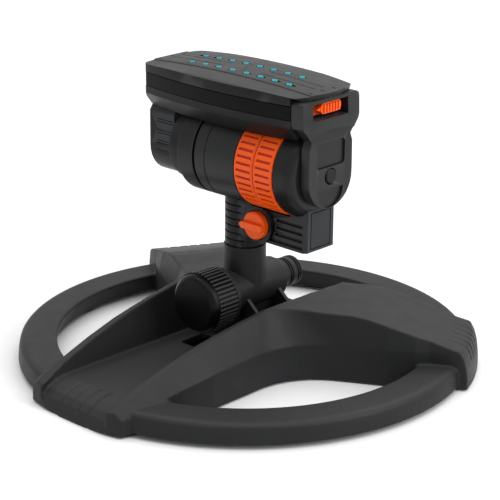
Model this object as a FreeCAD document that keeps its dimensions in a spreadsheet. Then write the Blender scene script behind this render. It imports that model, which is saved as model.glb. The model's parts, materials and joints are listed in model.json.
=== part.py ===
import FreeCAD, Part
import math
import os

import Sketcher

# Compact oscillating sprinkler on a three-armed sled base.
# Units mm. Origin on the floor under the column. +Z up, +X along the spray bar,
# +Y along the hose nipple.

os.makedirs("parts", exist_ok=True)
doc = FreeCAD.newDocument("oscillating_sprinkler")
V = FreeCAD.Vector
X_AXIS = V(1, 0, 0)
Y_AXIS = V(0, 1, 0)
Z_AXIS = V(0, 0, 1)
ORIGIN = V(0, 0, 0)

DIMENSIONS = [
    ("ring_radius", 120.0),
    ("ring_underside", 2.5),
    ("ring_top", 13.0),
    ("ring_inner_top", 99.4),
    ("ring_inner_bottom", 102.6),
    ("ring_wall", 2.3),
    ("base_wall", 2.6),
    ("floor_top", 12.5),
    ("wing_half", 26.8),
    ("wing_crease_half", 24.0),
    ("trough_outer_half", 41.0),
    ("arm_reach", 123.7),
    ("window_half", 13.6),
    ("hose_axis", 37.9),
    ("column_radius", 11.1),
    ("column_top", 62.5),
    ("column_bore", 8.5),
    ("tube_radius", 11.3),
    ("nipple_radius", 7.95),
    ("nipple_bore", 5.0),
    ("thread_radius", 13.2),
    ("cap_radius", 16.2),
    ("cap_front", 38.8),
    ("oring_cord", 1.1),
    ("neck_radius", 10.6),
    ("neck_bottom", 63.5),
    ("neck_top", 87.9),
    ("box_half", 9.8),
    ("box_bottom", 70.5),
    ("foot_face", 52.0),
    ("foot_top", 93.5),
    ("knob_along", 19.5),
    ("knob_height", 79.5),
    ("knob_radius", 7.3),
    ("drum_axis", 110.9),
    ("drum_radius", 24.1),
    ("ring_core", 20.6),
    ("drum_bore", 22.3),
    ("range_ring_bore", 20.7),
    ("shaft_radius", 5.9),
    ("shaft_bore", 4.0),
    ("gear_module", 0.5),
    ("layshaft_drop", 12.0),
    ("turbine_radius", 15.5),
    ("bar_half_length", 54.5),
    ("bar_half_width", 26.0),
    ("bow_radius", 297.0),
    ("crown_radius", 740.0),
    ("bar_hollow", 25.3),
    ("nozzle_pitch", 9.6),
    ("nozzle_stagger", 2.4),
    ("nozzle_row", 7.5),
    ("nozzle_radius", 1.5),
]
D = dict(DIMENSIONS)

sheet = doc.addObject("Spreadsheet::Sheet", "Dims")
for row_index, (alias, number) in enumerate(DIMENSIONS, start=1):
    sheet.set("A%d" % row_index, alias)
    sheet.set("B%d" % row_index, str(number))
    sheet.setAlias("B%d" % row_index, alias)
doc.recompute()

nodes = []


# ---------------------------------------------------------------- helpers

def q(alias, offset=0.0):
    """A size that follows a spreadsheet cell."""
    return (alias, offset)


def value(size):
    """The number behind a size."""
    if isinstance(size, tuple):
        return D[size[0]] + size[1]
    return float(size)


def expression(size):
    """The spreadsheet expression behind a size."""
    return "Dims.%s + (%g)" % size


def bind(obj, prop, size):
    """Set a property from a number or a spreadsheet cell."""
    if isinstance(size, tuple):
        obj.setExpression(prop, expression(size))
    else:
        setattr(obj, prop, size)


def at(position, direction=Z_AXIS):
    """Placement that carries local Z to a direction."""
    return FreeCAD.Placement(V(*position), FreeCAD.Rotation(Z_AXIS, direction))


def node(obj):
    """Mark an object as a sub-part that gets its own file."""
    nodes.append(obj)
    return obj


def cylinder(name, radius, height, position, direction=Z_AXIS):
    obj = doc.addObject("Part::Cylinder", name)
    bind(obj, "Radius", radius)
    bind(obj, "Height", height)
    obj.Placement = at(position, direction)
    return obj


def box(name, low, high):
    obj = doc.addObject("Part::Box", name)
    obj.Length = high[0] - low[0]
    obj.Width = high[1] - low[1]
    obj.Height = high[2] - low[2]
    obj.Placement = at(low)
    return obj


def torus(name, major, minor, position, direction):
    obj = doc.addObject("Part::Torus", name)
    bind(obj, "Radius1", major)
    bind(obj, "Radius2", minor)
    obj.Placement = at(position, direction)
    return obj


def fuse(name, parts):
    obj = doc.addObject("Part::MultiFuse", name)
    obj.Shapes = parts
    obj.Refine = True
    return obj


def cut(name, base, tools):
    obj = doc.addObject("Part::Cut", name)
    obj.Base = base
    obj.Tool = tools[0] if len(tools) == 1 else fuse(name + "_tools", tools)
    obj.Refine = True
    return obj


def common(name, base, tool):
    obj = doc.addObject("Part::Common", name)
    obj.Base = base
    obj.Tool = tool
    obj.Refine = True
    return obj


def solid_feature(name, shape):
    """A shape that primitives and sketches can't describe."""
    obj = doc.addObject("Part::Feature", name)
    obj.Shape = shape
    return obj


def constrain(sketch, kind, geometry, size):
    number = value(size)
    if abs(number) < 1e-9:
        axis = -2 if kind == "DistanceX" else -1
        sketch.addConstraint(Sketcher.Constraint("PointOnObject", geometry, 1, axis))
        return
    index = sketch.addConstraint(Sketcher.Constraint(kind, -1, 1, geometry, 1, number))
    if isinstance(size, tuple):
        sketch.setExpression("Constraints[%d]" % index, expression(size))


def outline(body, name, points, role):
    """A closed, fully dimensioned polyline sketch on one of a body's planes."""
    sketch = body.newObject("Sketcher::SketchObject", name)
    plane = [f for f in body.Origin.OriginFeatures if f.Role == role][0]
    sketch.AttachmentSupport = (plane, [""])
    sketch.MapMode = "FlatFace"
    count = len(points)
    corners = [V(value(p[0]), value(p[1]), 0) for p in points]
    for i in range(count):
        sketch.addGeometry(Part.LineSegment(corners[i], corners[(i + 1) % count]))
    for i in range(count):
        sketch.addConstraint(Sketcher.Constraint("Coincident", i, 2, (i + 1) % count, 1))
    for i, point in enumerate(points):
        constrain(sketch, "DistanceX", i, point[0])
        constrain(sketch, "DistanceY", i, point[1])
    return sketch


def turned(name, points, placement, axis="H_Axis"):
    """A body of revolution. Points are (along, radius) for H_Axis, (radius, height) for V_Axis."""
    body = doc.addObject("PartDesign::Body", name)
    profile = outline(body, name + "_profile", points, "XZ_Plane")
    turn = body.newObject("PartDesign::Revolution", name + "_turn")
    turn.Profile = profile
    turn.ReferenceAxis = (profile, [axis])
    turn.Angle = 360
    body.Tip = turn
    body.Placement = placement
    return body


def padded(name, points, length, role="YZ_Plane", placement=None):
    """A body padded along the plane's normal."""
    body = doc.addObject("PartDesign::Body", name)
    profile = outline(body, name + "_profile", points, role)
    pad = body.newObject("PartDesign::Pad", name + "_pad")
    pad.Profile = profile
    bind(pad, "Length", length)
    body.Tip = pad
    if placement is not None:
        body.Placement = placement
    return body


def on_drum(x=0.0):
    """Placement on the drum axis."""
    return FreeCAD.Placement(V(x, 0, D["drum_axis"]), FreeCAD.Rotation())


def on_hose():
    """Placement on the hose axis: local X runs along +Y."""
    return FreeCAD.Placement(V(0, 0, D["hose_axis"]), FreeCAD.Rotation(Z_AXIS, 90))


def polygon(points):
    vectors = [V(*p) for p in points]
    return Part.makePolygon(vectors + [vectors[0]])


def prism(points, direction):
    return Part.Face(polygon(points)).extrude(direction)


def mirror_x(shape):
    return shape.mirror(ORIGIN, X_AXIS)


# ---------------------------------------------------------------- sled base

WING_ANGLES = (30.0, 150.0)
WING_TOP = [(-200, 38.0), (0, 38.0), (25, 37.6), (45, 36.2), (62, 36.0), (70, 35.0), (78, 33.1),
            (93, 28.6), (111, 22.9), (117, 21.3), (119.5, 20.0), (200, 0.6)]
TROUGH_TOP = [(200, 60.0), (-15, 60.0), (-15, 38.1), (-20, 37.6), (-39, 35.1), (-53, 32.9),
              (-65, 30.4), (-84, 25.5), (-95, 22.2), (-105.7, 18.8), (-113, 15.7), (-118, 13.2),
              (-200, -20.0)]
NOSE = [(0, 60), (117.6, 60), (117.6, 23.0), (120.0, 20.6), (122.0, 17.0), (123.4, 12.0),
        (124.1, 6.5), (124.2, 0.8), (0, 0.8)]
# trough arm cross-sections: y, foot half-width, crease half-width, crease height,
# rail half-width, rail height
TROUGH_SECTIONS = [
    (-38.0, 41.0, 41.0, 20.0, 31.04, 36.2),
    (-65.0, 41.0, 41.0, 19.2, 29.5, 31.5),
    (-84.0, 38.6, 38.6, 16.5, 28.7, 26.5),
    (-95.0, 36.2, 36.2, 14.0, 28.1, 23.3),
    (-106.0, 35.2, 35.0, 12.0, 27.4, 19.8),
    (-113.0, 34.6, 34.4, 10.6, 27.0, 16.9),
    (-126.0, 30.5, 30.3, 8.0, 26.2, 11.5),
]
FLOOR = [(70, 19.5), (35, 19.5), (31, 12.5), (-106, 12.5), (-112, 11.7), (-117, 9.6), (-120.5, 6.6),
         (-122.4, 3.4), (-122.9, -2.0), (-140, -2.0)]


def rotate_z(shape, angle):
    turned_shape = shape.copy()
    turned_shape.rotate(ORIGIN, Z_AXIS, angle)
    return turned_shape


def arm_point(along, across, height, angle=30.0):
    """A point given along and across (clockwise side positive) an arm's axis."""
    a = math.radians(angle)
    return V(along * math.cos(a) + across * math.sin(a),
             along * math.sin(a) - across * math.cos(a), height)


def arc_edge(start, corner, end, radius, height):
    """Fillet arc of a corner between two plan lines, as three points."""
    a = V(start[0] - corner[0], start[1] - corner[1], 0).normalize()
    b = V(end[0] - corner[0], end[1] - corner[1], 0).normalize()
    half = a.getAngle(b) / 2
    reach = radius / math.tan(half)
    middle = (a + b).normalize()
    c = V(corner[0], corner[1], height)
    nearest = c + middle * (radius / math.sin(half) - radius)
    return c + a * reach, nearest, c + b * reach


def hub_wire(trough_x, trough_end, flank, radius, back_radius, height):
    """Plan outline of the hub: open on the trough side, both flanks, back corner."""
    out_along = 82.0
    front_end = arm_point(out_along, flank, height)
    back_end = arm_point(out_along, -flank, height)
    corner_y = (trough_x * 0.5 - flank) / math.cos(math.radians(30))
    p0 = V(trough_end[0], trough_end[1], height)
    a0, a1, a2 = arc_edge((trough_x, -60), (trough_x, corner_y), (front_end.x, front_end.y),
                          radius, height)
    back_y = flank / math.cos(math.radians(30))
    mirrored = V(-back_end.x, back_end.y, height)
    b0, b1, b2 = arc_edge((back_end.x, back_end.y), (0, back_y), (mirrored.x, mirrored.y),
                          back_radius, height)

    def flip(v):
        return V(-v.x, v.y, v.z)

    edges = [
        Part.makeLine(p0, a0),
        Part.Arc(a0, a1, a2).toShape(),
        Part.makeLine(a2, front_end),
        Part.makeLine(front_end, back_end),
        Part.makeLine(back_end, b0),
        Part.Arc(b0, b1, b2).toShape(),
        Part.makeLine(b2, flip(back_end)),
        Part.makeLine(flip(back_end), flip(front_end)),
        Part.makeLine(flip(front_end), flip(a2)),
        Part.Arc(flip(a2), flip(a1), flip(a0)).toShape(),
        Part.makeLine(flip(a0), flip(p0)),
        Part.makeLine(flip(p0), p0),
    ]
    return Part.Wire(edges)


def hub(inset):
    """Middle of the base, with concave corners between the arms."""
    low_x = D["trough_outer_half"] - inset
    flank = D["wing_half"] - inset
    low = hub_wire(low_x, (low_x, -38.0), flank, 40.0 + inset, 55.0 + inset, 20.0)
    low_face = Part.Face(low)
    foot = low_face.extrude(V(0, 0, -25))
    top = hub_wire(31.2 - inset, (28.7 - inset, -38.0), flank - 3.5, 25.0 + inset, 52.0 + inset, 40.0)
    upper = Part.makeLoft([low, top], True, True)
    return foot.fuse(upper)


def wing_outline(inset, shrink, height):
    half = D["wing_half"] - inset - shrink
    tip = 23.2 - inset - shrink
    right = [(30, half), (80, half), (95, half - 1.4), (102, tip), (130, tip - 0.4)]
    left = [(t, -d) for t, d in reversed(right)]
    return [arm_point(t, d, height, 0.0) for t, d in right + left]


def wing(angle, inset):
    """One closed arm, nearly upright flanks, open end trimmed by the nose."""
    low = polygon(wing_outline(inset, 0.0, 20.0))
    top = polygon(wing_outline(inset, 3.5, 40.0))
    body = Part.Face(low).extrude(V(0, 0, -25)).fuse(Part.makeLoft([low, top], True, True))
    return rotate_z(body, angle)


def trough_arm(inset):
    """The open arm's outer body before the trough is cut."""
    wires = []
    for y, foot, crease, crease_z, rail, rail_z in TROUGH_SECTIONS:
        half = [(foot - inset, -5.0), (crease - inset, crease_z), (rail - inset, rail_z),
                (rail - inset, rail_z + 8.0)]
        points = half + [(-x, z) for x, z in reversed(half)]
        wires.append(polygon([(x, y, z) for x, z in points]))
    return Part.makeLoft(wires, True, True)


def lid(points, low, lower_by):
    """Region under a falling top line, given as (along X, height)."""
    lowered = [(a, h - lower_by) for a, h in points]
    face_points = [(a, -200, h) for a, h in lowered]
    face_points += [(lowered[-1][0], -200, low), (lowered[0][0], -200, low)]
    return prism(face_points, V(0, 400, 0))


def nose(inset):
    """Round end surface shared by the three arms."""
    points = [(max(r - inset, 0), z - (inset if z > 1.0 else 0)) for r, z in NOSE]
    points = [(r, z if z > 1.0 else -6.0 if inset else z) for r, z in points]
    face = Part.Face(polygon([(r, 0, z) for r, z in points]))
    return face.revolve(ORIGIN, Z_AXIS, 360)


def skin(inset):
    """The arms and hub as one filled body, moved inwards by inset."""
    body = hub(inset).fuse([wing(a, inset) for a in WING_ANGLES] + [trough_arm(inset)])
    for angle in WING_ANGLES:
        body = body.common(rotate_z(lid(WING_TOP, -10, inset), angle))
    # the trough line runs along -Y: turn a lid made along X by a quarter turn
    line = [(y, z) for y, z in reversed(TROUGH_TOP)]
    body = body.common(rotate_z(lid(line, -40, inset), 90))
    return body.common(nose(inset))


def trough_void(margin, drop):
    """Space between the rails, above the floor."""
    wires = []
    for y, low, high in ((-140, 23.4, 33.4), (-65, 23.4, 33.4), (-20, 23.4, 35.6), (70, 23.4, 35.8)):
        points = [(-low - margin, 12.5), (low + margin, 12.5), (high + margin, 60), (-high - margin, 60)]
        wires.append(polygon([(x, y, z) for x, z in points]))
    sides = Part.makeLoft(wires, True, True)
    half = 23.4 + margin
    sides = sides.fuse(Part.makeBox(2 * half, 210, 17.5, V(-half, -140, -5)))
    region = [(0, y, z - drop) for y, z in FLOOR]
    region += [(0, -140, 70), (0, 70, 70)]
    above = prism(region, V(60, 0, 0))
    above = above.fuse(mirror_x(above))
    return sides.common(above)


def ring_channel():
    """Outer ring, open underneath."""
    outer = turned("ring_outer", [
        (q("ring_inner_bottom"), q("ring_underside")), (q("ring_radius"), q("ring_underside")),
        (q("ring_radius", -0.5), q("ring_top", -5.0)), (q("ring_radius", -1.1), q("ring_top", -2.0)),
        (q("ring_radius", -2.4), q("ring_top", -0.6)), (q("ring_radius", -4.4), q("ring_top")),
        (q("ring_inner_top", 0.8), q("ring_top")), (q("ring_inner_top"), q("ring_top", -0.9))],
        at((0, 0, 0)), "V_Axis")
    hollow = turned("ring_hollow", [
        (q("ring_inner_bottom", 2.3), -3.0), (q("ring_radius", -2.3), -3.0),
        (q("ring_radius", -3.6), q("ring_top", -2.8)), (q("ring_inner_top", 3.2), q("ring_top", -2.8))],
        at((0, 0, 0)), "V_Axis")
    doc.recompute()
    return outer, hollow


def trough_grooves():
    """Four thin grooves that run over the outer end of the trough."""
    cutters = []
    line = [(-103, 11.5), (-106, 11.5), (-112, 10.7), (-116.8, 8.7), (-120.0, 5.8), (-120.8, 4.8)]
    region = [(0, y, z) for y, z in line] + [(0, -126, 4.8), (0, -126, 30), (0, -103, 30)]
    slab = prism(region, V(1.2, 0, 0))
    for x in (-10.6, -4.0, 2.7, 9.4):
        piece = slab.copy()
        piece.translate(V(x - 0.6, 0, 0))
        cutters.append(piece)
    return cutters


def wing_grooves():
    """Five thin grooves over each closed arm's nose."""
    cutters = []
    line = [(110.5, 22.3), (113, 21.7), (116.8, 20.7), (118.6, 19.4), (120.6, 16.4), (122.2, 12.0)]
    region = [(t, 0, z) for t, z in line] + [(128, 0, 12.0), (128, 0, 40), (110.5, 0, 40)]
    slab = prism(region, V(0, 1.2, 0))
    for across in (-12, -6, 0, 6, 12):
        piece = slab.copy()
        piece.translate(V(0, across - 0.6, 0))
        cutters += [rotate_z(piece, angle) for angle in WING_ANGLES]
    return cutters


def tip_lips():
    """Low feet under the three tips: the base rests on them."""
    lips = []
    outer = Part.makeCylinder(D["arm_reach"] - 0.6, 2.4)
    inner = Part.makeCylinder(D["arm_reach"] - 3.0, 2.4)
    band = outer.cut(inner)
    for angle, half in ((30.0, 15.0), (150.0, 15.0), (270.0, 20.0)):
        window = Part.makeBox(20, 2 * half, 4, V(115, -half, -1))
        lips.append(band.common(rotate_z(window, angle)))
    return lips


def make_base():
    outer, hollow = ring_channel()
    body = skin(0.0).fuse(outer.Shape)
    guard = trough_void(D["base_wall"], D["base_wall"])
    body = body.cut(skin(D["base_wall"]).cut(guard))
    body = body.cut(hollow.Shape.common(skin(D["base_wall"] + 0.01)).cut(guard))
    body = body.cut(hollow.Shape.cut(skin(0.0)))
    body = body.cut(trough_void(0.0, 0.0))
    body = body.fuse(tip_lips())
    window = Part.makeBox(2 * D["window_half"], 17, 12, V(-D["window_half"], -34, 6))
    body = body.cut([window] + trough_grooves() + wing_grooves())
    for y in (-7.0, 13.0):
        body = body.cut(Part.makeCylinder(2.1, 12, V(0, y, 5)))
    solids = sorted(body.Solids, key=lambda s: s.Volume)
    return node(solid_feature("base_frame", solids[-1].removeSplitter()))


# ---------------------------------------------------------------- tee, cap and hose side

def make_tee():
    column = cylinder("tee_column", q("column_radius"), q("column_top", -37.9), (0, 0, D["hose_axis"]))
    tube = cylinder("tee_tube", q("tube_radius"), 40.0, (0, -19, D["hose_axis"]), Y_AXIS)
    outline_points = [
        (20.8, 0), (20.8, 9.6), (22.2, 9.4), (22.8, 8.6), (24.4, q("nipple_radius")),
        (27.8, q("nipple_radius")), (28.0, 6.25), (30.2, 6.25), (30.4, q("nipple_radius")),
        (33.6, q("nipple_radius")), (33.8, 6.25), (35.9, 6.25), (36.1, q("nipple_radius", -0.1)),
        (37.0, q("nipple_radius", -0.1)), (37.5, q("nipple_radius", -0.7)), (37.5, 0)]
    nipple = turned("tee_nipple", outline_points, on_hose())
    outlet_points = [(-34.6, 0), (-34.6, q("thread_radius", -0.6)), (-34.0, q("thread_radius")),
                     (-21.2, q("thread_radius")), (-21.2, 15.4), (-20.6, 15.9), (-19.4, 15.9),
                     (-18.4, 14.6), (-17.4, 11.3), (-17.4, 0)]
    outlet = turned("tee_outlet", outlet_points, on_hose())
    pedestal = box("tee_pedestal", (-6.5, -13, 12.5), (6.5, 19, 30))
    plate = box("tee_plate", (-17, -13, 12.5), (17, 19, 14.7))
    fins = []
    for index, y in enumerate((-9.0, 15.0)):
        fin = [(-22.4, 12.5), (22.4, 12.5), (22.6, 26.0), (9.6, 37.2), (-9.6, 37.2), (-22.6, 26.0)]
        fins.append(padded("tee_fin_%d" % (index + 1), fin, 2.2, "XZ_Plane",
                           FreeCAD.Placement(V(0, y + 1.1, 0), FreeCAD.Rotation())))
    body = fuse("tee_solid", [column, tube, nipple, outlet, pedestal, plate] + fins)
    bores = [
        cylinder("tee_column_bore", q("column_bore"), 30.0, (0, 0, 44.0)),
        cylinder("tee_riser", 6.5, 14.0, (0, 0, D["hose_axis"])),
        cylinder("tee_nipple_bore", q("nipple_bore"), 40.0, (0, 0, D["hose_axis"]), Y_AXIS),
        cylinder("tee_outlet_bore", 9.6, 50.0, (0, 2, D["hose_axis"]), V(0, -1, 0)),
        cylinder("tee_pilot_1", 1.6, 14.0, (0, -7, 12.0)),
        cylinder("tee_pilot_2", 1.6, 14.0, (0, 13, 12.0)),
    ]
    return node(cut("tee_body", body, bores))


def make_hose_seals():
    for index, y in enumerate((29.1, 34.85)):
        node(torus("nipple_oring_%d" % (index + 1), q("nipple_radius", -0.78), 0.9,
                   (0, y, D["hose_axis"]), Y_AXIS))


def make_screws():
    """Two pan-head screws from below."""
    profile = [(0, 7.2), (3.6, 7.2), (3.6, 8.6), (3.2, 9.7), (1.75, 9.7), (1.75, 24.0), (1.2, 25.5), (0, 25.5)]
    for index, y in enumerate((-7.0, 13.0)):
        blank = turned("screw_blank_%d" % (index + 1), profile, at((0, y, 0)), "V_Axis")
        slots = [box("screw_slot_%d%s" % (index + 1, s), (-a, y - b, 6.0), (a, y + b, 8.2))
                 for s, a, b in (("a", 2.2, 0.4), ("b", 0.4, 2.2))]
        node(cut("base_screw_%d" % (index + 1), blank, slots))


def make_cap():
    """Ribbed end cap, closed in front, plain inside the thread."""
    front = D["cap_front"]
    profile = [(-front, 0), (-front, 13.0), (-front + 0.5, 13.9), (-front + 1.6, 14.9),
               (-front + 3.4, 15.5), (-front + 5.0, q("cap_radius", -0.6)), (-22.0, q("cap_radius", -0.5)),
               (-21.5, q("cap_radius", -0.9)), (-21.5, q("thread_radius", 0.1)),
               (-36.6, q("thread_radius", 0.1)), (-36.6, 0)]
    shell = turned("cap_shell", profile, on_hose())
    rib = box("cap_rib", (-0.55, -34.6, D["hose_axis"] + 15.0), (0.55, -21.9, D["hose_axis"] + D["cap_radius"]))
    doc.recompute()
    ribs = []
    count = 44
    for i in range(count):
        piece = rib.Shape.copy()
        piece.rotate(V(0, 0, D["hose_axis"]), Y_AXIS, i * 360.0 / count)
        ribs.append(piece)
    teeth = solid_feature("cap_ribs", Part.makeCompound(ribs))
    node(fuse("end_cap", [shell, teeth]))
    gasket = turned("cap_gasket", [(-36.55, 9.8), (-36.55, 12.9), (-34.7, 12.9), (-34.7, 9.8)], on_hose())
    return gasket


# ---------------------------------------------------------------- turning head

def drum_cylinder(name, radius, x0, x1):
    return cylinder(name, radius, x1 - x0, (x0, 0, D["drum_axis"]), X_AXIS)


def make_neck():
    """Swivel neck, flat box with vents, foot below the inlet shell."""
    half = D["box_half"]
    low = D["box_bottom"]
    neck = turned("neck_column", [
        (0, 45.0), (q("column_bore", -0.08), 45.0), (q("column_bore", -0.08), 50.0), (7.4, 50.2),
        (7.4, 52.2), (q("column_bore", -0.08), 52.4), (q("column_bore", -0.08), q("column_top", 0.1)),
        (9.6, q("column_top", 0.1)), (9.6, q("neck_bottom")), (q("neck_radius"), q("neck_bottom")),
        (q("neck_radius"), q("neck_top", 2.0)), (0, q("neck_top", 2.0))], at((0, 0, 0)), "V_Axis")
    side = [(0, low), (48.6, low), (52.0, low + 0.8), (52.0, D["foot_top"]), (51.0, 97.0),
            (46.2, 97.0), (46.2, D["foot_top"]), (40.0, D["neck_top"] + 2.0), (0, D["neck_top"] + 2.0)]
    arm = padded("neck_box", side, 2 * half, "XZ_Plane",
                 FreeCAD.Placement(V(0, half, 0), FreeCAD.Rotation()))
    boss = cylinder("knob_boss", 9.7, 2.0, (D["knob_along"], -half, D["knob_height"]), V(0, -1, 0))
    body = fuse("neck_solid", [neck, arm, boss])
    tools = [
        drum_cylinder("neck_saddle_left", q("drum_radius", 0.05), -20.0, 13.85),
        drum_cylinder("neck_saddle_rings", q("drum_radius", 0.9), 13.85, 40.0),
        drum_cylinder("neck_saddle_shell", 23.6, 40.0, 46.1),
        turned("neck_saddle_end", [
            (46.0, 0), (46.0, 23.25), (47.6, 22.95), (49.2, 22.25), (50.6, 21.25), (51.5, 19.85),
            (51.95, 18.05), (55.0, 18.05), (55.0, 0)], on_drum()),
        cylinder("neck_bore", 5.6, 36.0, (0, 0, 44.0)),
        cylinder("box_channel", 5.6, 47.0, (0, 0, 79.6), X_AXIS),
        cylinder("foot_channel", 4.2, 30.0, (43.2, 0, 79.6)),
        cylinder("valve_bore", 6.0, 14.0, (D["knob_along"], 7.0, D["knob_height"]), V(0, -1, 0)),
        cylinder("stem_bore", 3.1, 20.0, (D["knob_along"], 0.0, D["knob_height"]), V(0, -1, 0)),
        cylinder("knob_recess", 7.9, 2.0, (D["knob_along"], -half - 0.9, D["knob_height"]), V(0, -1, 0)),
    ]
    for index, (z, x0) in enumerate(((84.2, 31.0), (80.4, 30.5), (76.6, 30.0), (72.85, 26.5))):
        for sign, label in ((-1, "front"), (1, "back")):
            y0, y1 = sorted((sign * (half - 1.1), sign * (half + 1)))
            tools.append(box("vent_%s_%d" % (label, index + 1), (x0, y0, z - 0.85), (48.6, y1, z + 0.85)))
    for index, z in enumerate((66.6, 70.4, 74.3, 78.1, 81.9, 85.6)):
        outer = Part.makeCylinder(D["neck_radius"] + 1, 0.9, V(0, 0, z - 0.45))
        inner = Part.makeCylinder(D["neck_radius"] - 1.0, 0.9, V(0, 0, z - 0.45))
        keep = Part.makeBox(40, 40, 5, V(7.0, -20, z - 2))
        groove = outer.cut(inner).cut(keep)
        tools.append(solid_feature("neck_groove_%d" % (index + 1), groove))
    frame_out = box("panel_out", (51.5, -7.6, 72.6), (53, 7.6, 92.0))
    frame_in = box("panel_in", (50, -7.0, 73.2), (54, 7.0, 91.4))
    tools.append(cut("panel_groove", frame_out, [frame_in]))
    return node(cut("neck_housing", body, tools))


def make_neck_small():
    node(torus("swivel_oring", 7.92, 0.5, (0, 0, 51.2), Z_AXIS))
    screen = turned("filter_screen", [(26.2, 4.2), (26.2, 5.5), (27.4, 5.5), (27.4, 4.9), (39.0, 4.9),
                                      (39.0, 5.5), (40.0, 5.5), (40.0, 4.2)],
                    FreeCAD.Placement(V(0, 0, 79.6), FreeCAD.Rotation()))
    holes = []
    doc.recompute()
    for i in range(5):
        for k in range(8):
            hole = Part.makeCylinder(0.7, 3, V(29 + 2.2 * i, 0, 79.6 + 3.5))
            hole.rotate(V(0, 0, 79.6), X_AXIS, k * 45 + (22.5 if i % 2 else 0))
            holes.append(hole)
    node(cut("filter_screen_mesh", screen, [solid_feature("screen_holes", Part.makeCompound(holes))]))


def make_flow_knob():
    """Quarter-turn knob: round plate, pointed grip bar, stem."""
    kx = D["knob_along"]
    kz = D["knob_height"]
    plate = turned("knob_plate", [
        (0, 0), (0, 3.0), (9.0, 3.0), (9.2, 3.0), (10.9, 3.0), (10.9, q("knob_radius")),
        (14.2, q("knob_radius")), (14.9, q("knob_radius", -0.7)), (14.9, 0)],
        FreeCAD.Placement(V(kx, 0, kz), FreeCAD.Rotation(Z_AXIS, -90)))
    grip_points = [(-7.9, 0.2), (-6.6, -1.7), (6.6, -1.7), (7.9, -0.2), (6.6, 1.7), (-6.6, 1.7)]
    grip = padded("knob_grip", grip_points, 3.2, "XZ_Plane",
                  FreeCAD.Placement(V(kx, -14.0, kz), FreeCAD.Rotation()))
    node(fuse("flow_knob", [plate, grip]))
    plug_solid = cylinder("plug_solid", 5.9, 11.6, (kx, 6.0, kz), V(0, -1, 0))
    plug_hole = cylinder("plug_hole", 4.0, 14.0, (kx - 7, 0, kz), X_AXIS)
    socket = cylinder("plug_socket", 3.0, 8.0, (kx, 0.0, kz), V(0, -1, 0))
    node(cut("valve_plug", plug_solid, [plug_hole, socket]))


def make_drum():
    """Stationary drum: body with ring core, left cover, right inlet shell."""
    node(turned("drum_body", [
        (-13.5, 7.0), (-13.5, q("drum_radius")), (-6.7, q("drum_radius")), (-6.7, q("drum_radius", -0.5)),
        (-6.2, q("drum_radius", -0.5)), (-6.2, q("drum_radius")), (13.85, q("drum_radius")),
        (13.85, q("ring_core")), (39.75, q("ring_core")), (39.75, 18.6), (12.0, 18.6),
        (12.0, q("drum_bore")), (-11.5, q("drum_bore")), (-11.5, 7.0)], on_drum()))
    node(turned("drum_cover", [
        (-26.2, q("shaft_radius", 0.06)), (-26.2, q("drum_radius", -0.4)), (-25.8, q("drum_radius")),
        (-15.6, q("drum_radius")), (-15.4, q("drum_radius", -0.3)), (-15.4, 22.2), (-13.5, 22.2),
        (-13.5, 19.5), (-24.2, 19.5), (-24.2, 10.4), (-19.9, 10.4), (-19.9, 8.52), (-23.8, 8.52),
        (-23.8, q("shaft_radius", 0.06))], on_drum()))
    shell = turned("inlet_shell_blank", [
        (36.2, 16.6), (36.2, 18.6), (39.8, 18.6), (39.8, 23.0), (40.2, 23.4), (46.0, 23.2),
        (47.6, 22.9), (49.2, 22.2), (50.6, 21.2), (51.5, 19.8), (51.9, 18.0), (51.9, 3.06), (48.2, 3.06),
        (48.2, 5.6), (46.4, 5.6), (46.4, 1.57), (45.0, 1.57), (45.0, 7.0), (49.4, 7.0), (49.4, 17.8),
        (48.6, 19.6), (46.8, 20.8), (42.2, 21.0), (42.2, 16.6)], on_drum())
    inlet = cylinder("inlet_port", 4.2, 12.0, (43.2, 0, 84.0))
    node(cut("inlet_shell", shell, [inlet]))


def make_range_rings():
    """Two ribbed setting rings with a smooth pad each."""
    spans = (("range_ring_left", 14.0, 26.75), ("range_ring_right", 26.95, 39.6))
    count = 42
    for name, x0, x1 in spans:
        tube = turned(name + "_tube", [
            (x0, q("range_ring_bore")), (x0, q("drum_radius", -0.6)), (x0 + 0.5, q("drum_radius", -0.1)),
            (x0 + 1.5, q("drum_radius", -0.1)), (x0 + 1.8, q("drum_radius", -0.8)),
            (x1 - 1.8, q("drum_radius", -0.8)), (x1 - 1.5, q("drum_radius", -0.1)),
            (x1 - 0.5, q("drum_radius", -0.1)), (x1, q("drum_radius", -0.6)), (x1, q("range_ring_bore"))],
            on_drum())
        rib = Part.makeBox(x1 - x0 - 2.4, 2.3, 1.8,
                           V(x0 + 1.2, -1.15, D["drum_axis"] + D["drum_radius"] - 1.75))
        pieces = []
        for i in range(count):
            angle = i * 360.0 / count
            if 190 < angle < 240:
                continue
            piece = rib.copy()
            piece.rotate(V(0, 0, D["drum_axis"]), X_AXIS, angle)
            pieces.append(piece)
        sector = Part.makeCylinder(D["drum_radius"] + 0.3, x1 - x0 - 2.0, V(x0 + 1.0, 0, D["drum_axis"]),
                                   X_AXIS, 38.0)
        sector = sector.cut(Part.makeCylinder(D["drum_radius"] - 1.0, 40, V(x0 - 5, 0, D["drum_axis"]), X_AXIS))
        sector.rotate(V(0, 0, D["drum_axis"]), X_AXIS, 0.0)
        middle = sector.Solids[0].CenterOfMass
        now = math.degrees(math.atan2(middle.z - D["drum_axis"], middle.y))
        sector.rotate(V(0, 0, D["drum_axis"]), X_AXIS, (90 + 215) - now)
        pieces.append(sector)
        ribs = solid_feature(name + "_ribs", Part.makeCompound(pieces))
        node(fuse(name, [tube, ribs]))


# ---------------------------------------------------------------- gear train

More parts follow.
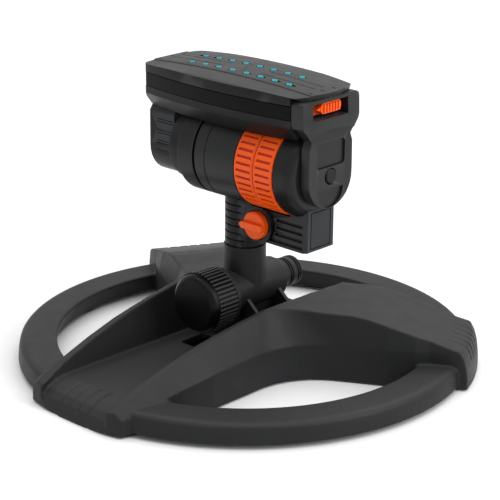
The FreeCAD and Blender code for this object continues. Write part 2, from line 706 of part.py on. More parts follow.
def gear_wire(teeth, backlash=0.05):
    """Involute gear outline in the YZ plane, first tooth along +Y, centred on X."""
    module = D["gear_module"]
    pressure = math.radians(20)
    pitch = teeth * module / 2
    base = pitch * math.cos(pressure)
    tip = pitch + 0.8 * module
    root = pitch - 1.1 * module
    involute = math.tan(pressure) - pressure
    half_pitch = math.pi / (2 * teeth) - backlash / (2 * pitch)

    def half_angle(radius):
        if radius <= base:
            return half_pitch + involute
        a = math.acos(base / radius)
        return half_pitch + involute - (math.tan(a) - a)

    start = max(root, base)
    radii = [root] + [start + (tip - start) * k / 3.0 for k in range(4)]
    if root >= base:
        radii = radii[1:]
    points = []
    for tooth in range(teeth):
        centre = 2 * math.pi * tooth / teeth
        flank = [(r, centre - half_angle(r)) for r in radii]
        flank += [(r, centre + half_angle(r)) for r in reversed(radii)]
        points += [(0, r * math.cos(t), r * math.sin(t)) for r, t in flank]
    return polygon(points)


def gear(teeth, x0, x1, phase, bore):
    """A spur gear on a local X axis."""
    body = Part.Face(gear_wire(teeth)).extrude(V(x1 - x0, 0, 0))
    body = body.cut(Part.makeCylinder(bore, x1 - x0 + 2, V(-1, 0, 0), X_AXIS)) if bore else body
    body.rotate(ORIGIN, X_AXIS, phase)
    body.translate(V(x0, 0, 0))
    return body


def make_gear_train():
    """Turbine, compound gear and output gear, meshed at rest."""
    drum = V(0, 0, D["drum_axis"])
    lay = V(0, 0, D["drum_axis"] - D["layshaft_drop"])
    output = gear(36, -8.5, -4.5, 5.0, D["shaft_radius"] - 0.4)
    output.translate(drum)
    node(solid_feature("output_gear", output))

    compound = gear(12, -9.0, -3.6, 0.0, 1.27).fuse(gear(36, -3.6, -0.4, 5.0, 1.27)).removeSplitter()
    compound.translate(lay)
    node(solid_feature("compound_gear", compound))
    node(cylinder("layshaft", 1.2, 14.6, (-11.5, 0, D["drum_axis"] - D["layshaft_drop"]), X_AXIS))

    hub_part = Part.makeCylinder(4.0, 8.0, V(20, 0, 0), X_AXIS)
    rim = Part.makeCylinder(D["turbine_radius"], 6.0, V(21, 0, 0), X_AXIS)
    rim = rim.cut(Part.makeCylinder(D["turbine_radius"] - 1.4, 8.0, V(20, 0, 0), X_AXIS))
    wheel = hub_part.fuse(rim)
    blade = Part.makeBox(6.0, 1.0, D["turbine_radius"] - 4.4, V(-3.0, -0.5, 3.6))
    blade.rotate(ORIGIN, Z_AXIS, 35)
    blade = blade.common(Part.makeCylinder(D["turbine_radius"] - 0.5, 6.0, V(-3.0, 0, 0), X_AXIS))
    blade.translate(V(24, 0, 0))
    blades = []
    for i in range(12):
        piece = blade.copy()
        piece.rotate(ORIGIN, X_AXIS, i * 30)
        blades.append(piece)
    axle = Part.makeCylinder(1.5, 50.6, V(-5.0 + 2.2, 0, 0), X_AXIS)
    pinion = gear(12, -2.6, 1.6, 0.0, 0.0)
    wheel = wheel.fuse(blades + [axle, pinion]).removeSplitter()
    wheel.translate(drum)
    node(solid_feature("turbine_wheel", wheel))


def make_drum_inside():
    """Gearbox plate and stator disc, both held in the drum bore."""
    plate = turned("plate_blank", [(3.0, 1.57), (3.0, q("drum_bore", -0.02)), (5.0, q("drum_bore", -0.02)),
                                   (5.0, 1.57)], on_drum())
    seat = cylinder("plate_seat", 1.2, 4.0, (2.0, 0, D["drum_axis"] - D["layshaft_drop"]), X_AXIS)
    vents = []
    for i in range(6):
        angle = math.radians(60 * i)
        vents.append(cylinder("plate_vent_%d" % (i + 1), 2.0, 4.0,
                              (2.0, 16.5 * math.cos(angle), D["drum_axis"] + 16.5 * math.sin(angle)), X_AXIS))
    node(cut("gearbox_plate", plate, [seat] + vents))
    disc = turned("stator_blank", [(30.0, 1.57), (30.0, 18.58), (32.0, 18.58), (32.0, 1.57)], on_drum())
    ports = []
    doc.recompute()
    for i in range(8):
        port = Part.makeCylinder(1.5, 8, V(-4, 11.5, 0), X_AXIS)
        port.rotate(V(0, 11.5, 0), V(0, 1, 0), 30)
        port.translate(V(31, 0, D["drum_axis"]))
        port.rotate(V(0, 0, D["drum_axis"]), X_AXIS, i * 45)
        ports.append(port)
    node(cut("stator_disc", disc, [solid_feature("stator_ports", Part.makeCompound(ports))]))


# ---------------------------------------------------------------- spray bar

def bowed(points):
    """Bar-long solid with bowed sides from half of a cross-section (y >= 0) at mid-length."""
    bow = D["bow_radius"]
    centre = V(0, D["bar_half_width"] - bow, 0)
    face = Part.Face(polygon([(0, y, z) for y, z in points]))
    sweep = face.copy()
    sweep.rotate(centre, Z_AXIS, -14)
    half = sweep.revolve(centre, Z_AXIS, 28)
    keep = Part.makeBox(200, 60, 300, V(-100, 0, 0))
    half = half.common(keep)
    other = half.mirror(ORIGIN, Y_AXIS)
    return half.fuse(other).removeSplitter()


def crown(points):
    """Region below the crowned top: cross-section curved along the bar."""
    radius = D["crown_radius"]
    centre = V(0, 0, 155.8 - radius)
    full = [(y, z) for y, z in points] + [(-y, z) for y, z in reversed(points)]
    face = Part.Face(polygon([(0, y, z) for y, z in full]))
    face.rotate(centre, Y_AXIS, -6)
    return face.revolve(centre, Y_AXIS, 12)


def span(x0, x1):
    return Part.makeBox(x1 - x0, 120, 200, V(x0, -60, 60))


def drum_space(radius, x0, x1):
    return Part.makeCylinder(radius, x1 - x0, V(x0, 0, D["drum_axis"]), X_AXIS)


def nozzle_positions():
    rows = []
    for sign in (-1, 1):
        row = []
        for i in range(8):
            x = -sign * D["nozzle_stagger"] + D["nozzle_pitch"] * (i - 3.5)
            row.append((x, sign * D["nozzle_row"]))
        rows.append(row)
    return rows


def teardrop(x, y, z0, z1):
    """Slot round a nozzle with room for the comb's travel; a tail points away from the middle."""
    lead = -1 if y > 0 else 1
    mouth = 1.75
    tail = 0.8
    height = z1 - z0
    low, high = sorted((x - lead * 0.5, x + lead * 0.3))
    slot = Part.makeBox(high - low, 2 * mouth, height, V(low, y - mouth, z0))
    slot = slot.fuse([Part.makeCylinder(mouth, height, V(cx, y, z0)) for cx in (low, high)])
    if lead * x > 0:
        near = x + lead * 0.3
        tip = x + lead * (D["nozzle_radius"] + 1.0 + 0.055 * abs(x) - tail)
        wedge = [(near, y - mouth, z0), (tip, y - tail, z0), (tip, y + tail, z0), (near, y + mouth, z0)]
        slot = slot.fuse([Part.makeCylinder(tail, height, V(tip, y, z0)), prism(wedge, V(0, 0, height))])
    return slot


def filleted(shape, radius, direction):
    """Round the straight edges that run along a direction."""
    edges = []
    for edge in shape.Edges:
        run = edge.Vertexes[-1].Point - edge.Vertexes[0].Point
        if run.Length > 0 and abs(run.normalize().dot(direction)) > 0.999:
            edges.append(edge)
    return shape.makeFillet(radius, edges)


TOP_LINE = [(30.0, 100.0), (30.0, 153.2), (25.6, 154.1), (24.4, 154.6), (12.6, 155.2), (12.55, 154.0),
            (0.0, 154.0)]
PANEL_LINE = [(30.0, 100.0), (30.0, 155.4), (12.5, 155.4), (11.3, 155.75), (0.0, 155.8)]
SEAM = [(2.4, -13), (2.4, -6), (1.0, -2.3), (-0.6, 0), (-2.4, 3), (-3.0, 7), (-3.5, 13)]
MARK_SPOTS = (-10.4, -2.0, 6.4)
BAR_LEFT = -54.5
BAR_RIGHT = 49.6
ROOF_RIGHT = 57.6


def left_end():
    """Plan outline that rounds the two corners at the bar's left end."""
    half = [(-54.5, 17.2), (-54.2, 18.4), (-53.3, 19.8), (-51.9, 20.9), (-50.3, 21.9), (-48.0, 30.0)]
    points = [(80, 30)] + [(x, y) for x, y in reversed(half)] + [(x, -y) for x, y in half] + [(80, -30)]
    return prism([(x, y, 60) for x, y in points], V(0, 0, 120))


def roof_disc():
    """Plan outline of the roof's rounded right end."""
    return Part.makeCylinder(39.4, 20, V(ROOF_RIGHT - 39.4, 0, 151.2))


def make_upper_cover():
    """Top cover: side walls behind the glossy bands, lip, roof with the panel seat."""
    outer = bowed([(0, 141.4), (24.2, 141.4), (24.2, 148.6), (26.0, 149.0), (26.0, 158), (0, 158)])
    outer = outer.common(crown(TOP_LINE)).common(span(BAR_LEFT, BAR_RIGHT)).common(left_end())
    visor = bowed([(0, 151.2), (22.6, 151.2), (26.0, 153.0), (26.0, 158), (0, 158)])
    visor = visor.common(crown(TOP_LINE)).common(span(49.0, 60.0)).common(roof_disc())
    outer = outer.fuse(visor)
    room = bowed([(0, 140), (22.4, 140), (22.4, 149.4), (21.0, 151.0), (0, 151.0)])
    room = room.common(span(BAR_LEFT + 1.8, BAR_RIGHT + 5))
    body = outer.cut(room)
    holes = [teardrop(x, y, 145, 160) for row in nozzle_positions() for x, y in row]
    return node(solid_feature("upper_cover", body.cut(holes).removeSplitter()))


def make_side_bands():
    """Glossy bands set into both sides of the cover."""
    ring = bowed([(24.25, 141.5), (25.3, 141.5), (25.3, 148.4), (24.25, 148.4)])
    ring = ring.common(span(-51.6, 49.4))
    for name, sign in (("side_band_front", -1), ("side_band_back", 1)):
        keep = Part.makeBox(200, 60, 300, V(-100, 0 if sign > 0 else -60, 0))
        node(solid_feature(name, ring.common(keep)))


def make_panels():
    """Raised nozzle panel, split in the middle by an S-shaped seam."""
    block = Part.makeBox(30.0 - BAR_LEFT, 25, 6, V(BAR_LEFT, -12.5, 152.0))
    block = block.fuse(Part.makeBox(40, 25, 6, V(20, -12.5, 152.0)).common(roof_disc()))
    body = block.common(crown(PANEL_LINE))
    seat = crown([(30.0, 100.0), (30.0, 154.02), (0.0, 154.02)])
    tools = [teardrop(x, y, 145, 160) for row in nozzle_positions() for x, y in row]
    shallow = crown([(30.0, 100.0), (30.0, 155.3), (0.0, 155.3)])
    for y in (-3.2, 3.2):
        for x0 in (-50.0, 13.0):
            tools.append(Part.makeBox(36.5, 0.5, 10, V(x0, y - 0.25, 150)).cut(shallow))
    for y in MARK_SPOTS:
        for x0 in (-53.2, 51.6):
            tools.append(Part.makeBox(2.6, 0.7, 10, V(x0, y - 0.35, 150)).cut(shallow))
    body = body.cut(seat).cut(tools)
    right = [(x + 0.12, y, 150) for x, y in SEAM] + [(60, 13, 150), (60, -13, 150)]
    left = [(x - 0.12, y, 150) for x, y in SEAM] + [(-60, 13, 150), (-60, -13, 150)]
    node(solid_feature("nozzle_panel_right", body.common(prism(right, V(0, 0, 10)))))
    node(solid_feature("nozzle_panel_left", body.common(prism(left, V(0, 0, 10)))))


def make_lower_shell():
    """Bevelled lower shell, hollowed over the drum."""
    outer = bowed([(0, 129.5), (19.0, 129.5), (25.3, 137.5), (25.4, 141.2), (0, 141.2)])
    outer = outer.common(span(BAR_LEFT, BAR_RIGHT)).common(left_end())
    outer = outer.cut(drum_space(D["bar_hollow"], -36.3, 60))
    room = bowed([(0, 131.3), (18.0, 131.3), (23.5, 138.0), (23.6, 142), (0, 142)])
    room = room.common(span(BAR_LEFT + 1.8, BAR_RIGHT - 1.8))
    room = room.cut(drum_space(D["bar_hollow"] + 1.8, -38.0, 60))
    body = outer.cut(room)
    body = body.cut(Part.makeCylinder(4.6, 10, V(-45.2, 0, 126)))
    return node(solid_feature("lower_shell", body.removeSplitter()))


def make_manifold():
    """Closed water box under the nozzles, with a riser from the left arm."""
    block = Part.makeBox(92, 22, 8.8, V(-48, -11, 139.4))
    block = block.cut(Part.makeBox(89.2, 19.2, 6.0, V(-46.6, -9.6, 140.8)))
    riser = Part.makeCylinder(4.5, 12.0, V(-45.2, 0, 127.8))
    body = block.fuse(riser)
    tools = [Part.makeCylinder(3.3, 13.5, V(-45.2, 0, 127.5))]
    for row in nozzle_positions():
        tools += [Part.makeCylinder(0.8, 5, V(x, y, 145)) for x, y in row]
    return node(solid_feature("manifold", body.cut(tools).removeSplitter()))


def make_combs():
    """One flexible strip of eight nozzles per row."""
    for name, row in zip(("nozzle_comb_front", "nozzle_comb_back"), nozzle_positions()):
        y = row[0][1]
        body = Part.makeBox(79, 4.4, 1.7, V(row[0][0] - 5.4, y - 2.2, 148.6))
        pieces = [Part.makeCylinder(D["nozzle_radius"], 7.0, V(x, yy, 150.0)) for x, yy in row]
        body = body.fuse(pieces)
        bores = [Part.makeCylinder(0.55, 12, V(x, yy, 147)) for x, yy in row]
        body = body.cut(bores).common(crown([(30, 100), (30, 155.95), (0, 155.95)]))
        node(solid_feature(name, body))


def make_left_arm():
    """Water arm at the bar's left end with its collar against the drum."""
    pts = [(-15.8, 108.0)]
    pts += [(15.8 * math.cos(math.radians(a)), 108.0 + 16.0 * math.sin(math.radians(a)))
            for a in range(190, 351, 10)]
    pts += [(15.8, 108.0), (15.8, 127.0), (14.2, 129.45), (-14.2, 129.45), (-15.8, 127.0)]
    block = prism([(-54.5, y, z) for y, z in pts], V(18.2, 0, 0))
    tools = [Part.makeCylinder(D["shaft_radius"], 14.0, V(-50.0, 0, D["drum_axis"]), X_AXIS),
             Part.makeCylinder(4.0, 24.0, V(-45.2, 0, D["drum_axis"])),
             Part.makeCylinder(4.5, 3.0, V(-45.2, 0, 127.8))]
    for z in (105.5, 110.9, 116.5, 122.5):
        for dz in (-0.7, 0.7):
            for sign in (-1, 1):
                y0 = 15.3 if sign > 0 else -16.3
                tools.append(Part.makeBox(12.5, 1.0, 0.45, V(-49.3, y0, z + dz - 0.22)))
    node(solid_feature("left_arm", block.cut(tools)))
    node(turned("arm_collar", [(-36.25, q("shaft_radius", 0.02)), (-36.25, 20.0), (-28.2, 20.0),
                               (-27.2, 19.2), (-27.2, q("shaft_radius", 0.02))], on_drum()))


def make_outlet_shaft():
    node(turned("outlet_shaft", [
        (-50.0, q("shaft_bore")), (-50.0, q("shaft_radius", -0.01)), (-9.0, q("shaft_radius", -0.01)),
        (-9.0, q("shaft_radius", -0.41)), (-4.1, q("shaft_radius", -0.41)), (-4.1, q("shaft_bore"))],
        on_drum()))
    node(turned("shaft_seal", [(-23.78, q("shaft_radius", 0.03)), (-23.78, 8.5), (-20.2, 8.5),
                               (-20.2, q("shaft_radius", 0.03))], on_drum()))


def end_outline():
    """Right end plate outline, half (y >= 0), from top to bottom."""
    half = [(0, 151.1), (17.0, 151.1), (19.4, 150.9), (20.6, 150.1), (21.0, 148.8), (20.9, 139.4),
            (20.2, 137.4), (14.4, 130.6), (16.0, 126.5), (16.2, 112.0)]
    half += [(16.2 * math.cos(math.radians(a)), 110.6 + 16.2 * math.sin(math.radians(a)))
             for a in range(-10, -91, -10)]
    half[-1] = (0, half[-1][1])
    return half


def make_end_plate():
    """Bulged plate: wraps round the bar's end, carries the slider window, reaches the pivot."""
    half = end_outline()
    ring_points = half + [(-y, z) for y, z in reversed(half[1:-1])]
    body = prism([(52.5, y, z) for y, z in ring_points], V(8, 0, 0))
    dome = Part.makeSphere(400, V(58.6 - 400, 0, 124.0))
    body = body.common(dome)
    flange = [(y, z) for y, z in ring_points if z > 136]
    collar = prism([(49.8, y, z) for y, z in flange], V(2.8, 0, 0))
    hollow = [(y * 0.915, 136 + (z - 136) * 0.88) for y, z in flange]
    collar = collar.cut(prism([(49.0, y, z) for y, z in hollow], V(3.5, 0, 0)))
    body = body.fuse(collar)
    tools = [
        Part.makeBox(10, 26, 8.4, V(50, -14, 141.0)),
        filleted(Part.makeBox(8, 20.8, 13.0, V(56.7, -10.4, 116.0)), 2.0, X_AXIS),
        Part.makeCylinder(60.0, 8, V(57.7, 0, 75.5), X_AXIS),
        Part.makeCylinder(3.06, 12, V(49, 0, D["drum_axis"]), X_AXIS),
        Part.makeCylinder(4.3, 8, V(56.4, 0, D["drum_axis"]), X_AXIS),
    ]
    moon = Part.makeCylinder(9.6, 8, V(56.6, 0, 104.4), X_AXIS)
    moon = moon.common(Part.makeBox(10, 30, 10.0, V(56, -15, 94.4)))
    tools.append(moon)
    return node(solid_feature("right_end_plate", body.cut(tools).removeSplitter()))


def make_pivot_and_slider():
    node(turned("pivot_pin", [(48.3, 0), (48.3, 3.0), (56.5, 3.0), (56.5, 3.7), (58.0, 3.7), (58.4, 3.2),
                              (58.4, 0)], on_drum()))
    plate = Part.makeBox(1.5, 20.4, 6.6, V(50.8, -9.2, 142.3))
    grip = filleted(Part.makeBox(4.0, 14.9, 5.5, V(52.0, -6.3, 143.1)), 2.2, X_AXIS)
    pieces = []
    for i in range(6):
        pieces.append(Part.makeBox(1.3, 1.0, 4.3, V(55.7, -4.6 + 2.1 * i, 143.7)))
    pointer = prism([(55.8, -9.3, 145.85), (55.8, -4.6, 144.2), (55.8, -4.6, 147.5)], V(-3.5, 0, 0))
    node(solid_feature("width_slider", plate.fuse([grip, pointer] + pieces).removeSplitter()))


# ---------------------------------------------------------------- build and write

def build():
    make_base()
    make_tee()
    make_hose_seals()
    make_screws()
    node(make_cap())
    make_neck()
    make_neck_small()
    make_flow_knob()
    make_drum()
    make_range_rings()
    make_gear_train()
    make_drum_inside()
    make_upper_cover()
    make_side_bands()
    make_panels()
    make_lower_shell()
    make_manifold()
    make_combs()
    make_left_arm()
    make_outlet_shaft()
    make_end_plate()
    make_pivot_and_slider()
    doc.recompute()


def check():
    for obj in doc.Objects:
        bad = [s for s in obj.State if s in ("Invalid", "Error")]
        if bad:
            raise RuntimeError("%s: %s" % (obj.Name, bad))
    for obj in nodes:
        if obj.Shape.isNull() or not obj.Shape.isValid():
            raise RuntimeError("%s has no valid shape" % obj.Name)


def write():
    for obj in nodes:
        obj.Label = obj.Name
        obj.Shape.exportStep("parts/%s.step" % obj.Label)
        bounds = obj.Shape.BoundBox
        print("%-20s solids %d volume %9.1f  x %.1f..%.1f y %.1f..%.1f z %.1f..%.1f" % (
            obj.Label, len(obj.Shape.Solids), obj.Shape.Volume, bounds.XMin, bounds.XMax,
            bounds.YMin, bounds.YMax, bounds.ZMin, bounds.ZMax))


build()
check()
write()
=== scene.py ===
import json
import math

import bpy
from mathutils import Matrix, Vector


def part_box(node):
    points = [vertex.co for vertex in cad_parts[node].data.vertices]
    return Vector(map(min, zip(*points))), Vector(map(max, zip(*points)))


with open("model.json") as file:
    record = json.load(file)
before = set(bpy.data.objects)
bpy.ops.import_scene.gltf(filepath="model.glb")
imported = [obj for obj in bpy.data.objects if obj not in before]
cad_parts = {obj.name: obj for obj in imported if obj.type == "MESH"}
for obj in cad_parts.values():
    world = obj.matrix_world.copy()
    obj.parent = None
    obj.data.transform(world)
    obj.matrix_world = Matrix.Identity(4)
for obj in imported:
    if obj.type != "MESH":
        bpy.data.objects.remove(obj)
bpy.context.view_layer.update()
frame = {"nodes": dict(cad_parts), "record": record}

# Looks of a compact oscillating sprinkler. Metres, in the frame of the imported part:
# +Z up, +X along the spray bar, +Y along the hose nipple.

MM = 0.001
NODES = frame["nodes"]
SLOT_OF = {row["node"]: row["material_slot"] for row in frame["record"]["subparts"]}

# Nodes whose finish isn't the one their material slot names.
FINISH_OF = {
    "range_ring_left": "ring_plastic", "range_ring_right": "ring_plastic", "drum_body": "drum_plastic",
    "drum_cover": "drum_plastic", "inlet_shell": "drum_plastic", "right_end_plate": "drum_plastic",
}

# Bevel widths of the softened nodes, in millimetres.
BEVEL_MM = {
    "tee_body": 0.5, "end_cap": 0.08, "neck_housing": 0.45, "flow_knob": 0.5,
    "drum_body": 0.35, "drum_cover": 0.35, "inlet_shell": 0.3, "range_ring_left": 0.08,
    "range_ring_right": 0.08, "upper_cover": 0.5, "side_band_front": 0.1,
    "side_band_back": 0.1, "nozzle_panel_left": 0.15, "nozzle_panel_right": 0.15,
    "lower_shell": 0.4, "left_arm": 0.3, "arm_collar": 0.4, "right_end_plate": 0.6,
    "pivot_pin": 0.2, "width_slider": 0.25, "nozzle_comb_front": 0.15,
    "nozzle_comb_back": 0.15,
}
SMOOTH_ONLY = ("nipple_oring_1", "nipple_oring_2", "cap_gasket", "swivel_oring")

WELD_DISTANCE = 0.002 * MM
BEVEL_FROM_ANGLE = math.radians(28.0)
FLAT_WITHIN_ANGLE = math.radians(0.6)

# Texture scales, in features per metre.
DRIFT_SCALE = 35.0
PATCH_SCALE = 120.0
GRAIN_SCALE = 1400.0
STREAK_SCALE = 900.0
NOISE_SPAN = (0.3, 0.7)
GRAIN_DEPTH = 0.06 * MM

# Spans of the surface's upward normal, for the painted top light, and of its pointiness, for the painted
# shade in hollows and the lightened edges, each with what it fades from and to.
TOP_LIGHT_SPAN = (0.15, 0.95, 0.0, 1.0)
HOLLOW_SHADE_SPAN = (0.44, 0.50, 1.0, 0.0)
EDGE_SPAN = (0.52, 0.60, 0.0, 1.0)

CAMERA_PLACE = (0.5932, -0.6289, 0.3629)
CAMERA_FORWARD = (-0.645, 0.688, -0.3325)
CAMERA_ROLL = 0.008
CAMERA_LENS_MM = 125.7
SENSOR_MM = 36.0


# ---------------------------------------------------------------- node helpers

def new_material(name):
    """A material, its node tree and its Principled shader."""
    material = bpy.data.materials.new(name)
    material.use_nodes = True
    tree = material.node_tree
    return material, tree, tree.nodes["Principled BSDF"]


def texture_place(tree, output="Object"):
    return tree.nodes.new("ShaderNodeTexCoord").outputs[output]


def noise(tree, coordinates, scale, detail=3.0):
    made = tree.nodes.new("ShaderNodeTexNoise")
    made.inputs["Scale"].default_value = scale
    made.inputs["Detail"].default_value = detail
    made.inputs["Roughness"].default_value = 0.55
    tree.links.new(coordinates, made.inputs["Vector"])
    return made.outputs["Fac"]


def remap(tree, source, low, high, to_low, to_high):
    made = tree.nodes.new("ShaderNodeMapRange")
    made.inputs["From Min"].default_value = low
    made.inputs["From Max"].default_value = high
    made.inputs["To Min"].default_value = to_low
    made.inputs["To Max"].default_value = to_high
    tree.links.new(source, made.inputs["Value"])
    return made.outputs["Result"]


def blend_colours(tree, factor, first, second):
    """Mix of two colours, each a tuple or a socket."""
    made = tree.nodes.new("ShaderNodeMix")
    made.data_type = "RGBA"
    tree.links.new(factor, made.inputs["Factor"])
    for value, socket in ((first, made.inputs["A"]), (second, made.inputs["B"])):
        if isinstance(value, tuple):
            socket.default_value = (*value, 1.0)
        else:
            tree.links.new(value, socket)
    return made.outputs["Result"]


def vector_math(tree, operation, source, constant=None):
    made = tree.nodes.new("ShaderNodeVectorMath")
    made.operation = operation
    tree.links.new(source, made.inputs[0])
    if constant is not None:
        made.inputs[1].default_value = constant
    return made.outputs["Value" if operation == "LENGTH" else "Vector"]


def scaled(colour, factor):
    return tuple(channel * factor for channel in colour)


# ---------------------------------------------------------------- materials

def moulded(name, colour, rough, grain=0.12, mottle=0.10, edge_wear_and_highlight=1.5, specular=0.2, painted_hollow_shade=None,
            painted_top_light=None):
    """Moulded plastic or rubber, with fine grain, a slow drift of colour and lightened edges, partly worn
    and partly painted highlight.

    The argument for hollows gives their painted shade and the argument for upward faces their painted top
    light, where it has them.
    """
    material, tree, shader = new_material(name)
    shader.inputs["Specular IOR Level"].default_value = specular
    place = texture_place(tree)
    drift = remap(tree, noise(tree, place, DRIFT_SCALE), *NOISE_SPAN, 0.0, 1.0)
    tone = blend_colours(tree, drift, scaled(colour, 1.0 - mottle), scaled(colour, 1.0 + mottle))
    # Painted top light: upward faces are blended towards a lighter colour, as if lit from above.
    if painted_top_light is not None:
        parts = tree.nodes.new("ShaderNodeSeparateXYZ")
        tree.links.new(texture_place(tree, "Normal"), parts.inputs["Vector"])
        tone = blend_colours(tree, remap(tree, parts.outputs["Z"], *TOP_LIGHT_SPAN), tone, painted_top_light)
    pointy = tree.nodes.new("ShaderNodeNewGeometry").outputs["Pointiness"]
    # Painted shade: hollows, found by low pointiness, are blended towards a darker colour.
    if painted_hollow_shade is not None:
        tone = blend_colours(tree, remap(tree, pointy, *HOLLOW_SHADE_SPAN), tone, painted_hollow_shade)
    # Edges, found by high pointiness, are lightened: partly worn, partly a painted highlight.
    tone = blend_colours(tree, remap(tree, pointy, *EDGE_SPAN), tone, scaled(colour, edge_wear_and_highlight))
    tree.links.new(tone, shader.inputs["Base Color"])
    patch = noise(tree, place, PATCH_SCALE)
    tree.links.new(remap(tree, patch, *NOISE_SPAN, rough - 0.04, rough + 0.05),
                   shader.inputs["Roughness"])
    bump = tree.nodes.new("ShaderNodeBump")
    bump.inputs["Strength"].default_value = grain
    bump.inputs["Distance"].default_value = GRAIN_DEPTH
    tree.links.new(noise(tree, place, GRAIN_SCALE, 2.0), bump.inputs["Height"])
    tree.links.new(bump.outputs["Normal"], shader.inputs["Normal"])
    return material


def brushed_steel(name, colour):
    material, tree, shader = new_material(name)
    shader.inputs["Metallic"].default_value = 1.0
    streak = noise(tree, texture_place(tree), STREAK_SCALE)
    tree.links.new(blend_colours(tree, streak, scaled(colour, 0.8), scaled(colour, 1.1)),
                   shader.inputs["Base Color"])
    tree.links.new(remap(tree, streak, *NOISE_SPAN, 0.25, 0.42), shader.inputs["Roughness"])
    return material


def axis_and_radius(name):
    """Height of the level axis of a round node, and the node's radius."""
    low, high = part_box(name)
    return (low.z + high.z) / 2, (high.z - low.z) / 2


def paint_groove_shade_and_ridge_highlight(material, piece, axis_z, across, low, high, groove_shade_colour, ridge_highlight_gain):
    """Paints a ribbed round part by distance from its axis: painted shade in its grooves and a slight
    painted highlight on its ridges.

    across has a 0 for the direction along the axis and a 1 for the other two.
    """
    tree = material.node_tree
    shader = tree.nodes["Principled BSDF"]
    tone = shader.inputs["Base Color"].links[0].from_socket
    centre = piece.matrix_world.inverted() @ Vector((0.0, 0.0, axis_z))
    offset = vector_math(tree, "SUBTRACT", texture_place(tree), centre)
    reach = vector_math(tree, "LENGTH", vector_math(tree, "MULTIPLY", offset, across))
    # Painted shade, deeper towards the bottom of the grooves.
    depth = remap(tree, reach, low, high, 1.0, 0.0)
    grooved = blend_colours(tree, depth, tone, groove_shade_colour)
    # Painted highlight on the ridges.
    ridge = remap(tree, reach, high - 0.05 * MM, high + 0.1 * MM, 0.0, ridge_highlight_gain)
    ridged = blend_colours(tree, ridge, grooved, (1.0, 1.0, 1.0))
    tree.links.new(ridged, shader.inputs["Base Color"])


def make_materials():
    orange = (0.78, 0.085, 0.003)
    # Orange in painted shade, for the hollows and the ring grooves.
    shaded_orange = (0.48, 0.030, 0.004)
    # The lighter colours given for upward faces are painted top light.
    made = {
        "base_plastic": moulded("base_plastic", (0.0125, 0.0130, 0.0140), 0.50, grain=0.22, specular=0.20,
                                painted_top_light=(0.026, 0.026, 0.027)),
        "tee_plastic": moulded("tee_plastic", (0.0130, 0.0132, 0.0138), 0.44, specular=0.22,
                               painted_top_light=(0.026, 0.026, 0.027)),
        "cap_plastic": moulded("cap_plastic", (0.0030, 0.0030, 0.0033), 0.36, specular=0.16),
        # Large edge factors, as on the head and the drum, are mostly painted highlight.
        "head_plastic": moulded("head_plastic", (0.0040, 0.0042, 0.0046), 0.38, grain=0.10, specular=0.17,
                                edge_wear_and_highlight=7.0, painted_top_light=(0.034, 0.034, 0.035)),
        "drum_plastic": moulded("drum_plastic", (0.0085, 0.0088, 0.0094), 0.34, grain=0.08, specular=0.22,
                                edge_wear_and_highlight=4.0),
        "gloss_band": moulded("gloss_band", (0.0008, 0.0008, 0.0009), 0.08, grain=0.0, specular=0.10,
                              edge_wear_and_highlight=1.6),
        "orange_plastic": moulded("orange_plastic", orange, 0.36, grain=0.06, mottle=0.04, edge_wear_and_highlight=1.15,
                                  specular=0.25, painted_hollow_shade=shaded_orange),
        "ring_plastic": moulded("ring_plastic", orange, 0.36, grain=0.06, mottle=0.04, edge_wear_and_highlight=1.15,
                                specular=0.25),
        "nozzle_rubber": moulded("nozzle_rubber", (0.0, 0.33, 0.40), 0.45, grain=0.05, edge_wear_and_highlight=1.1),
        "inner_plastic": moulded("inner_plastic", (0.62, 0.62, 0.58), 0.42, grain=0.05, edge_wear_and_highlight=1.1),
        "rubber": moulded("rubber", (0.006, 0.006, 0.006), 0.42, grain=0.10),
        "steel": brushed_steel("steel", (0.62, 0.62, 0.62)),
    }
    # Painted shade in the range rings' grooves, and painted shade and a painted highlight on the cap's
    # ribs.
    drum_z, drum_radius = axis_and_radius("drum_body")
    paint_groove_shade_and_ridge_highlight(made["ring_plastic"], NODES["range_ring_left"], drum_z, (0.0, 1.0, 1.0),
                drum_radius - 0.75 * MM, drum_radius - 0.30 * MM, shaded_orange, 0.0)
    cap_z, cap_radius = axis_and_radius("end_cap")
    paint_groove_shade_and_ridge_highlight(made["cap_plastic"], NODES["end_cap"], cap_z, (1.0, 0.0, 1.0),
                cap_radius - 0.5 * MM, cap_radius - 0.2 * MM, (0.0012, 0.0012, 0.0013), 0.035)
    return made


def dress_nodes(materials):
    for name, piece in NODES.items():
        piece.data.materials.clear()
        piece.data.materials.append(materials[FINISH_OF.get(name, SLOT_OF[name])])


# ---------------------------------------------------------------- shapes

def smooth_shaded(piece):
    for face in piece.data.polygons:
        face.use_smooth = True


def weld_seams(piece):
    weld = piece.modifiers.new("weld", "WELD")
    weld.merge_threshold = WELD_DISTANCE


def soften(piece, width):
    """Rounds the sharp edges of a CAD node with modifiers only."""
    smooth_shaded(piece)
    weld_seams(piece)
    flat = piece.modifiers.new("flat", "DECIMATE")
    flat.decimate_type = "DISSOLVE"
    flat.angle_limit = FLAT_WITHIN_ANGLE
    bevel = piece.modifiers.new("bevel", "BEVEL")
    bevel.width = width
    bevel.segments = 2
    bevel.limit_method = "ANGLE"
    bevel.angle_limit = BEVEL_FROM_ANGLE
    bevel.use_clamp_overlap = True
    bevel.harden_normals = False
    normals = piece.modifiers.new("normals", "WEIGHTED_NORMAL")
    normals.keep_sharp = False


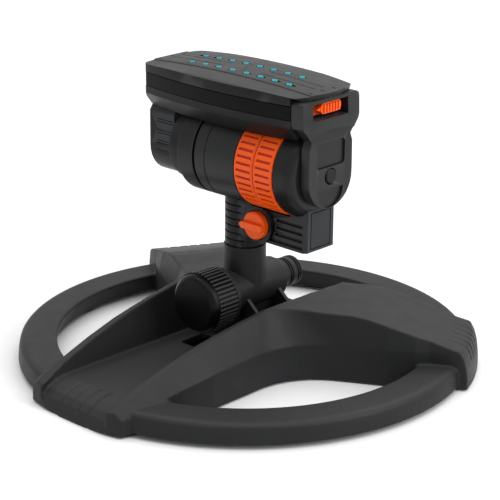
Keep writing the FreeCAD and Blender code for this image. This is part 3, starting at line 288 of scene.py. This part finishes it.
def melt(piece, voxel, passes, keep):
    """Rounds a CAD node all over, as a thick moulding, with a fine remesh and smoothing.

    keep is the share of the remesh's triangles that stay.
    """
    weld_seams(piece)
    remesh = piece.modifiers.new("remesh", "REMESH")
    remesh.mode = "VOXEL"
    remesh.voxel_size = voxel
    remesh.use_smooth_shade = True
    relax = piece.modifiers.new("relax", "SMOOTH")
    relax.factor = 0.5
    relax.iterations = passes
    thin = piece.modifiers.new("thin", "DECIMATE")
    thin.ratio = keep


def shape_nodes():
    melt(NODES["base_frame"], voxel=0.55 * MM, passes=4, keep=0.5)
    for name, width in BEVEL_MM.items():
        soften(NODES[name], width * MM)
    for name in SMOOTH_ONLY:
        smooth_shaded(NODES[name])


# ---------------------------------------------------------------- stage, light, camera

def make_floor():
    mesh = bpy.data.meshes.new("floor")
    half = 6.0
    mesh.from_pydata([(-half, -half, 0), (half, -half, 0), (half, half, 0), (-half, half, 0)], [],
                     [(0, 1, 2, 3)])
    floor = bpy.data.objects.new("floor", mesh)
    bpy.context.scene.collection.objects.link(floor)
    material, _, shader = new_material("pale_floor")
    shader.inputs["Base Color"].default_value = (0.86, 0.86, 0.86, 1.0)
    shader.inputs["Roughness"].default_value = 0.85
    shader.inputs["Specular IOR Level"].default_value = 0.15
    mesh.materials.append(material)


def area_light(name, location, target, size, power):
    data = bpy.data.lights.new(name, "AREA")
    data.shape = "RECTANGLE"
    data.size, data.size_y = size
    data.energy = power
    lamp = bpy.data.objects.new(name, data)
    lamp.location = location
    lamp.rotation_euler = (Vector(target) - Vector(location)).to_track_quat("-Z", "Y").to_euler()
    bpy.context.scene.collection.objects.link(lamp)


def make_light():
    world = bpy.data.worlds.new("studio")
    world.use_nodes = True
    background = world.node_tree.nodes["Background"]
    background.inputs["Color"].default_value = (1.0, 1.0, 1.0, 1.0)
    background.inputs["Strength"].default_value = 0.7
    bpy.context.scene.world = world
    middle = (0.0, 0.0, 0.08)
    area_light("top_light", (0.1, 0.4, 2.2), middle, (3.5, 3.5), 52.0)
    area_light("right_light", (1.3, 0.3, 0.7), middle, (0.6, 1.0), 9.0)


def make_camera():
    """The photograph's view, with its slight roll."""
    data = bpy.data.cameras.new("camera")
    data.sensor_width = SENSOR_MM
    data.lens = CAMERA_LENS_MM
    data.clip_start = 0.05
    data.clip_end = 50.0
    camera = bpy.data.objects.new("camera", data)
    forward = Vector(CAMERA_FORWARD).normalized()
    side = forward.cross(Vector((0, 0, 1))).normalized()
    up = side.cross(forward)
    right = side * math.cos(CAMERA_ROLL) + up * math.sin(CAMERA_ROLL)
    top = up * math.cos(CAMERA_ROLL) - side * math.sin(CAMERA_ROLL)
    turn = Matrix((right, top, -forward)).transposed()
    camera.matrix_world = Matrix.Translation(CAMERA_PLACE) @ turn.to_4x4()
    bpy.context.scene.collection.objects.link(camera)
    bpy.context.scene.camera = camera


def set_view_transform():
    settings = bpy.context.scene.view_settings
    settings.view_transform = "Standard"
    settings.look = "None"
    settings.exposure = 0.0


dress_nodes(make_materials())
shape_nodes()
make_floor()
make_light()
make_camera()
set_view_transform()
